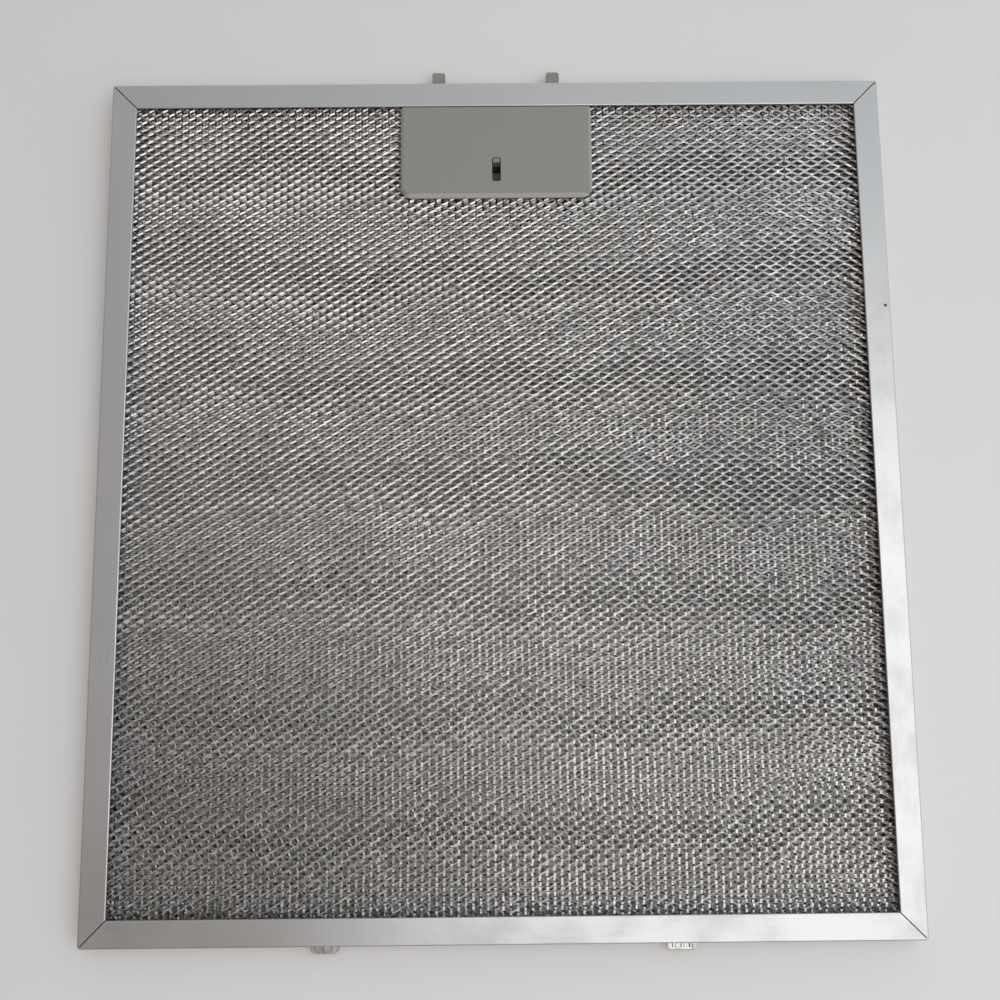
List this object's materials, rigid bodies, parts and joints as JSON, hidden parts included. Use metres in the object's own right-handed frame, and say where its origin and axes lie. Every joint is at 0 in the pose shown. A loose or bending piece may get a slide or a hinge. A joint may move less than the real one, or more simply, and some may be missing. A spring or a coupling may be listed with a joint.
{
  "type": "cooker hood grease filter",
  "caption": "Flat aluminium mesh grease filter in a mitred channel frame, with a sprung latch in one edge and locating tabs in the opposite edge.",
  "frame": {"origin": "centre of the bounding box on the plane the filter lies on, which is the rear face of the frame", "axes": "+X across the filter, +Y towards the latch edge, +Z out of the front face"},
  "size_m": [0.278, 0.3094, 0.009],
  "materials": {
    "frame_aluminium": "satin rolled sheet",
    "mesh_aluminium": "bright expanded foil, slightly dulled",
    "latch_plastic": "fine matt",
    "slider_plastic": "fine matt",
    "spring_steel": "drawn wire",
    "tab_steel": "bright pressed strip"
  },
  "bodies": {
    "filter": {"frame": "frame_aluminium", "front_mesh": "mesh_aluminium", "inner_mesh_1": "mesh_aluminium", "inner_mesh_2": "mesh_aluminium", "inner_mesh_3": "mesh_aluminium", "rear_mesh": "mesh_aluminium", "latch_cover": "latch_plastic", "latch_housing": "latch_plastic", "latch_spring_left": "spring_steel", "latch_spring_right": "spring_steel", "locating_tab_left": "tab_steel", "locating_tab_right": "tab_steel"},
    "latch": {"latch_slider": "slider_plastic"}
  },
  "joints": [
    {"name": "latch_slide", "type": "slide", "parent": "filter", "child": "latch", "axis": [0, -1, 0], "range_m": [0, 0.0062], "stiffness_N_per_m": 300, "springref_m": -0.004, "deforming": ["latch_spring_left", "latch_spring_right"]}
  ]
}
